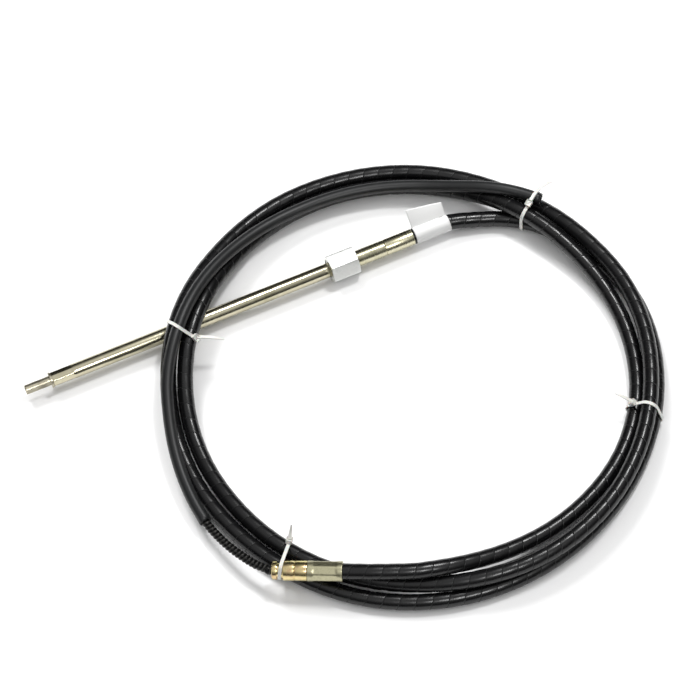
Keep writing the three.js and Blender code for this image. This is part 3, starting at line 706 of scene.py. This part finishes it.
# Plastic tube: plain black extruded tube, open at both ends, pushed over the bare core. It
# rides up on the conduit at the left tie.
TUBE_DIAMETER = 0.013
TUBE_WALL = 0.0012
TUBE_SIDES = 28
TUBE_STEP = 0.004
TUBE_BLACK = "#131415"
TUBE_IOR = 1.5
TUBE_WAY = [
    (-216.5, 0.2640, 0.0165), (-208, 0.2615, 0.0194), (-200, 0.2592, 0.0228),
    (-190, 0.2568, 0.0302), (-180, 0.2558, 0.0382), (-170, 0.2525, 0.0453),
    (-160, 0.2502, 0.0460), (-150, 0.2485, 0.0410), (-140, 0.2470, 0.0332),
    (-130, 0.2458, 0.0266), (-120, 0.2440, 0.0232), (-105, 0.2420, 0.0224),
    (-90, 0.2405, 0.0232), (-85, 0.2403, 0.0248), (-80, 0.2406, 0.0284),
    (-75, 0.2423, 0.0326), (-70, 0.2457, 0.0357), (-66, 0.2493, 0.0359),
    (-62, 0.2528, 0.0353), (-57.5, 0.2560, 0.0353),
]


# Polyethylene tube: smoother and duller than the jacket, with faint lines along it
def tube_material():
    material, tree, shader = new_material(
        "polyethylene_tube_black", {"Base Color": linear(TUBE_BLACK), "IOR": TUBE_IOR})
    wrap = add_node(tree, "ShaderNodeUVMap", {"uv_map": "wrap"})
    drawn = add_node(tree, "ShaderNodeMapping", {"Scale": (0.15, 40, 1)},
                     {"Vector": wrap.outputs["UV"]})
    lines = noise(tree, drawn.outputs["Vector"], scale=1, detail=3)
    feed(tree, shader, {"Roughness": between(tree, lines, 0.38, 0.5),
                        "Normal": bumped(tree, lines, strength=0.15, distance=0.0002)})
    return material


tube_points = along_way(TUBE_WAY, TUBE_WAY[0][0], TUBE_WAY[-1][0])
tube_route = Route(tube_points)
bm = straight_tube(tube_route.length, lambda phase: TUBE_DIAMETER / 2, TUBE_SIDES,
                   round(tube_route.length / TUBE_STEP), WRAP_PITCH)
lay(bm, tube_route)
tube = finished("spent_tube_extruded", bm, tube_material(), "coil", "spent_tube")
wall = tube.modifiers.new("wall", "SOLIDIFY")
wall.thickness = TUBE_WALL
wall.offset = -1
wall.use_rim = True


# Helical core: a dark steel wire wound in a coarse thread round a stranded cable, greased.
# It comes out of the fitting's head and goes on inside the plastic tube.
CORE_DIAMETER = 0.0095
CORE_ROOT_RADIUS = 0.0034
CORE_PITCH = 0.0046
CORE_SIDES = 24
RINGS_PER_PITCH = 9
CREST_SHAPE = 0.8                 # below 1, the winding's crests are broader than its roots
CORE_LEAD = [
    (-235.6, 0.2600, 0.0275), (-232, 0.2628, 0.0252), (-226, 0.2640, 0.0210),
    (-221, 0.2643, 0.0182),
]
CORE_SHORT = 0.016                # the core ends this far inside the tube's far end


# Spring steel wire, oiled; its colour goes from near black in the roots to lighter on the crests
def core_material():
    material, tree, shader = new_material("spring_steel_oiled", {"Metallic": 0.8})
    crest = add_node(tree, "ShaderNodeValToRGB", links={"Fac": wrap_phase(tree)})
    set_ramp(crest, [(0, "#0a0a0a"), (0.3, "#202020"), (0.5, "#4a4946"), (0.7, "#202020"),
                     (1, "#0a0a0a")])
    grease = noise(tree, on_object(tree), scale=220, detail=4)
    feed(tree, shader, {"Base Color": crest.outputs["Color"],
                        "Roughness": between(tree, grease, 0.25, 0.6)})
    return material


core_out = helm_end + helm_line * (head_to + FIT)
core_route = Route([
    core_out, core_out + helm_line * CORE_DIAMETER / 2, *[placed(*row) for row in CORE_LEAD],
    *tube_points,
])
core_length = core_route.length - CORE_SHORT


def core_radius(phase):
    crest = math.sin(math.pi * phase) ** CREST_SHAPE
    return CORE_ROOT_RADIUS + (CORE_DIAMETER / 2 - CORE_ROOT_RADIUS) * crest


bm = straight_tube(core_length, core_radius, CORE_SIDES,
                   round(core_length / CORE_PITCH * RINGS_PER_PITCH), CORE_PITCH)
close_ends(bm)
lay(bm, core_route)
core = finished("core_wound", bm, core_material(), "coil", "helical_core")


# Cable ties: moulded natural nylon, each one piece with its strap, head and tail. The strap
# runs in an upright plane, tight round all that it holds; the tail comes out of the head.
STRAP_WIDTH = 0.0036
STRAP_THICKNESS = 0.0012
STRAP_STEP = 0.0008
LOOP_POINTS = 90
LOOP_TURN_STEP = 4                # degrees between the directions that feel for the skin
TAIL_TAPER = 0.012
TAIL_TIP = 0.45                   # the tail's width and thickness at its tip, as shares
TAIL_TIP_THICKNESS = 0.7
TOOTH_DEPTH = 0.00015
TOOTH_REACH = 0.4                 # share of the strap's width that a tooth goes from its middle
HEAD_SIZE = Vector((0.007, 0.0066, 0.005))
HEAD_EDGE = 0.0007
HEAD_SLOT = 0.0012
HEAD_SLOT_DEPTH = HEAD_SIZE.z / 3
TIE_REACH = 0.036
HELM_TIE_REACH = 0.060
NYLON_WHITE = "#d4d4cf"
NYLON_IOR = 1.53

# Each tie: middle of its plane and heading in plan, the head's seat across and up, the
# strap's direction there, the tail's turn in plan, how far the loop leans along the conduit
# for each unit of height, and the tail's way outward and upward
TIES = {
    "tie_top": {
        "middle": (0.12670, 0.21086), "heading": 59, "seat": (-0.00384, 0.03950),
        "lie": 194.2, "turn": 0, "lean": 0,
        "tail": [(0.002, 0.0039), (0.012, 0.0046), (0.020, 0.0015), (0.029, -0.0045),
                 (0.038, -0.012), (0.048, -0.022), (0.056, -0.030)],
    },
    "tie_right": {
        "middle": (0.24417, -0.02998), "heading": -20, "seat": (-0.01490, 0.02339),
        "lie": 228.2, "turn": 0, "lean": 0,
        "tail": [(-0.002, 0.004), (-0.009, 0.007), (-0.016, 0.009), (-0.022, 0.010)],
    },
    "tie_left": {
        "middle": (-0.24291, 0.05474), "heading": 146, "seat": (-0.01668, 0.03841),
        "lie": 221.6, "turn": -34, "lean": 0.35,
        "tail": [(-0.003, 0.002), (-0.012, 0.0015), (-0.021, 0), (-0.031, -0.003)],
    },
    "tie_bottom": {
        "middle": (-0.1330, -0.21652), "heading": 258.3, "seat": (-0.03507, 0.02130),
        "lie": 204.5, "turn": 0, "lean": 0,
        "tail": [(-0.002, 0.004), (-0.008, 0.009), (-0.013, 0.015)],
    },
}
# The strap's section, in shares of its half width and half thickness
STRAP_SECTION = [
    (-1, 0.5), (-0.88, 1), (-0.22, 1), (0, 0.62), (0.22, 1), (0.88, 1), (1, 0.5), (1, -0.5),
    (0.88, -1), (0.6, -1), (-0.6, -1), (-0.88, -1), (-1, -0.5),
]


# Nylon 66, moulded: milky white, satin, and light goes a little way into it
def nylon_material():
    material, tree, shader = new_material(
        "nylon_moulded_natural",
        {"Base Color": linear(NYLON_WHITE), "IOR": NYLON_IOR, "Subsurface Weight": 0.1,
         "Subsurface Scale": 0.001})
    skin = noise(tree, on_object(tree), scale=700, detail=2)
    feed(tree, shader, {"Roughness": between(tree, skin, 0.28, 0.4)})
    return material


def strap(length, taper):
    """A straight toothed strap along +X, outer face up. taper narrows its end."""
    bm = bmesh.new()
    outline = [bm.verts.new((0, y * STRAP_WIDTH / 2, z * STRAP_THICKNESS / 2))
               for y, z in STRAP_SECTION]
    for a, b in zip(outline, outline[1:] + outline[:1]):
        bm.edges.new((a, b))
    steps = max(round(length / STRAP_STEP), 2)
    bmesh.ops.spin(
        bm, geom=bm.verts[:] + bm.edges[:], cent=(0, 0, 0), axis=(1, 0, 0),
        dvec=(length / steps, 0, 0), angle=0, steps=steps, use_merge=False)
    for vert in bm.verts:
        row = round(vert.co.x / (length / steps))
        if row % 2 and vert.co.z < 0 and abs(vert.co.y) < STRAP_WIDTH * TOOTH_REACH:
            vert.co.z += TOOTH_DEPTH
        left = (length - vert.co.x) / TAIL_TAPER
        if taper and left < 1:
            vert.co.y *= TAIL_TIP + (1 - TAIL_TIP) * left
            vert.co.z *= TAIL_TIP_THICKNESS + (1 - TAIL_TIP_THICKNESS) * left
    close_ends(bm)
    bmesh.ops.recalc_face_normals(bm, faces=bm.faces[:])
    return bm


def tie_head():
    """The head, strap side down, with the slot that the tail leaves by."""
    bm = bmesh.new()
    bmesh.ops.create_cube(bm, size=1, matrix=Matrix.Diagonal((*HEAD_SIZE, 1)))
    top = max(bm.faces, key=lambda face: face.calc_center_median().z)
    bmesh.ops.bevel(bm, geom=[e for e in bm.edges if e not in top.edges[:]], offset=HEAD_EDGE,
                    segments=3, profile=0.5, affect="EDGES", material=-1, clamp_overlap=True)
    top = max(bm.faces, key=lambda face: face.calc_center_median().z)
    bmesh.ops.inset_individual(bm, faces=[top], thickness=HEAD_SLOT, use_even_offset=True)
    bmesh.ops.translate(bm, verts=top.verts[:], vec=(0, 0, -HEAD_SLOT_DEPTH))
    bmesh.ops.recalc_face_normals(bm, faces=bm.faces[:])
    return bm


def tight_loop(held, plane_middle, across, reach):
    """Points round all the held meshes' skin inside the strap's width, a strap's half away."""
    normal = Vector((-across.y, across.x, 0))
    spots = []
    for piece in held:
        for vert in piece.data.vertices:
            off = vert.co - plane_middle
            if abs(off.dot(normal)) < STRAP_WIDTH / 2 and abs(off.dot(across)) < reach:
                spots.append((off.dot(across), vert.co.z))
    gap = FIT + STRAP_THICKNESS / 2
    loop = []
    for turn in range(0, 360, LOOP_TURN_STEP):
        a = math.radians(turn)
        out = (math.cos(a), math.sin(a))
        spot = max(spots, key=lambda p: p[0] * out[0] + p[1] * out[1])
        loop.append((spot[0] + out[0] * gap, spot[1] + out[1] * gap))
    return loop


def joined(target, source):
    """Adds one bmesh to another."""
    holder = bpy.data.meshes.new("holder")
    source.to_mesh(holder)
    source.free()
    target.from_mesh(holder)
    bpy.data.meshes.remove(holder)


nylon = nylon_material()
for name, tie in TIES.items():
    heading = math.radians(tie["heading"])
    across = Vector((math.cos(heading), math.sin(heading), 0))
    normal = Vector((-across.y, across.x, 0))
    middle = coil_middle + Vector((*tie["middle"], 0))
    middle.z = 0                  # the loop's heights count from the floor
    at_helm = name == "tie_bottom"
    held = [conduit, fitting] if at_helm else [conduit, tube]
    loop = tight_loop(held, middle, across, HELM_TIE_REACH if at_helm else TIE_REACH)
    seat = middle + across * tie["seat"][0] + Vector((0, 0, tie["seat"][1] + coil_middle.z))
    points = [middle + across * out + normal * tie["lean"] * (height - seat.z)
              + Vector((0, 0, height)) for out, height in loop]
    first = min(range(len(points)), key=lambda k: (points[k] - seat).length)
    round_trip = points[first:] + points[:first + 1]
    outline = Route(round_trip, cuts=1)
    ring = Route([outline.at(outline.length * k / LOOP_POINTS) for k in range(LOOP_POINTS + 1)],
                 side=-normal, cuts=2)
    bm = strap(ring.length, taper=False)
    lay(bm, ring)

    tail_heading = heading - math.radians(tie["turn"])
    tail_across = Vector((math.cos(tail_heading), math.sin(tail_heading), 0))
    tail_points = [seat + tail_across * out + Vector((0, 0, rise)) for out, rise in tie["tail"]]
    tail_side = Vector((-tail_across.y, tail_across.x, 0))
    tail_route = Route(tail_points, side=tail_side if tie["tail"][-1][0] < 0 else -tail_side)
    tail = strap(tail_route.length, taper=True)
    lay(tail, tail_route)
    joined(bm, tail)

    lie = math.radians(tie["lie"])
    strap_way = across * math.cos(lie) + Vector((0, 0, math.sin(lie)))
    outward = across * math.sin(lie) - Vector((0, 0, math.cos(lie)))
    head = tie_head()
    head_middle = seat + outward * (HEAD_SIZE.z / 2 + FIT / 2)
    side = outward.cross(strap_way)
    stand = Matrix((strap_way, side, outward)).transposed().to_4x4()
    head.transform(Matrix.Translation(head_middle) @ stand)
    joined(bm, head)
    finished(f"{name}_nylon", bm, nylon, "coil", name)


CORE_PATH_STEP = 0.004
[tuple(core_route.at(x)) for x in stations(0, core_length, CORE_PATH_STEP)]


# Studio: a white floor; a large soft box behind at the left and a wide ceiling, which light
# the floor and the dull pieces but aren't mirrored; two small lamps nearly overhead for the
# glints; and a dark surround with one bright patch straight above.
FLOOR_SIZE = 40
FLOOR_WHITE = "#f4f4f4"
CAMERA_EYE = Vector((-0.0002, -1.4152, 2.7518))
CAMERA_AIM = Vector((-0.0664, 0.0458, 0.010))
CAMERA_ROLL = -0.04007
CAMERA_LENS = 151.09
CAMERA_SENSOR = 36
CAMERA_FAR = 100
SURROUND_WAY = Vector((0.05, -0.15, 0.987))
SURROUND_STRENGTH = 0.75
# Each light: the way to it from the coil, its distance, size and power, whether it lights
# dull surfaces, and whether glossy ones mirror it
LIGHTS = {
    "soft_box": ((-0.36, 0.60, 0.71), 6, 2.0, 260, True, False),
    "ceiling": ((0, 0, 1), 6, 12, 200, True, False),
    "lamp_over": ((0.22, 0.36, 0.90), 4, 0.6, 62, True, True),
    "lamp_front": ((0.24, -0.50, 0.83), 4, 0.6, 40, False, True),
}

floor_bm = bmesh.new()
bmesh.ops.create_grid(floor_bm, x_segments=1, y_segments=1, size=FLOOR_SIZE / 2)
floor_mesh = bpy.data.meshes.new("studio_floor")
floor_bm.to_mesh(floor_mesh)
floor_bm.free()
floor = bpy.data.objects.new("studio_floor", floor_mesh)
bpy.context.scene.collection.objects.link(floor)
# Matt white paint, without any sheen
paint = new_material("studio_floor_paint", {
    "Base Color": linear(FLOOR_WHITE), "Roughness": 0.9, "Specular IOR Level": 0})[0]
floor_mesh.materials.append(paint)

world = bpy.data.worlds.new("studio_surround")
world.use_nodes = True
bpy.context.scene.world = world
sky = world.node_tree
towards = add_node(sky, "ShaderNodeTexCoord")
share = add_node(sky, "ShaderNodeVectorMath", {"operation": "DOT_PRODUCT", 1: SURROUND_WAY},
                 {0: towards.outputs["Generated"]})
shade = add_node(sky, "ShaderNodeValToRGB", links={"Fac": share.outputs["Value"]})
set_ramp(shade, [(0, 0.02), (0.45, 0.08), (0.72, 0.45), (0.86, 1.0)])
sky.links.new(shade.outputs["Color"], sky.nodes["Background"].inputs["Color"])
sky.nodes["Background"].inputs["Strength"].default_value = SURROUND_STRENGTH

for name, (way, distance, size, watts, lit, mirrored) in LIGHTS.items():
    lamp = bpy.data.lights.new(name, "AREA")
    lamp.size = size
    lamp.energy = watts
    stand = bpy.data.objects.new(name, lamp)
    stand.location = coil_middle + Vector(way).normalized() * distance
    stand.rotation_mode = "QUATERNION"
    stand.rotation_quaternion = Vector(way).to_track_quat("Z", "Y")
    stand.visible_diffuse = lit
    stand.visible_glossy = mirrored
    bpy.context.scene.collection.objects.link(stand)

camera_data = bpy.data.cameras.new("camera")
camera_data.lens = CAMERA_LENS
camera_data.sensor_width = CAMERA_SENSOR
camera_data.clip_end = CAMERA_FAR
camera = bpy.data.objects.new("camera", camera_data)
looking = (CAMERA_AIM - CAMERA_EYE).to_track_quat("-Z", "Y").to_matrix().to_4x4()
camera.matrix_world = (Matrix.Translation(coil_middle + CAMERA_EYE) @ looking
                       @ Matrix.Rotation(CAMERA_ROLL, 4, "Z"))
bpy.context.scene.collection.objects.link(camera)
bpy.context.scene.camera = camera
bpy.context.scene.view_settings.view_transform = "Standard"
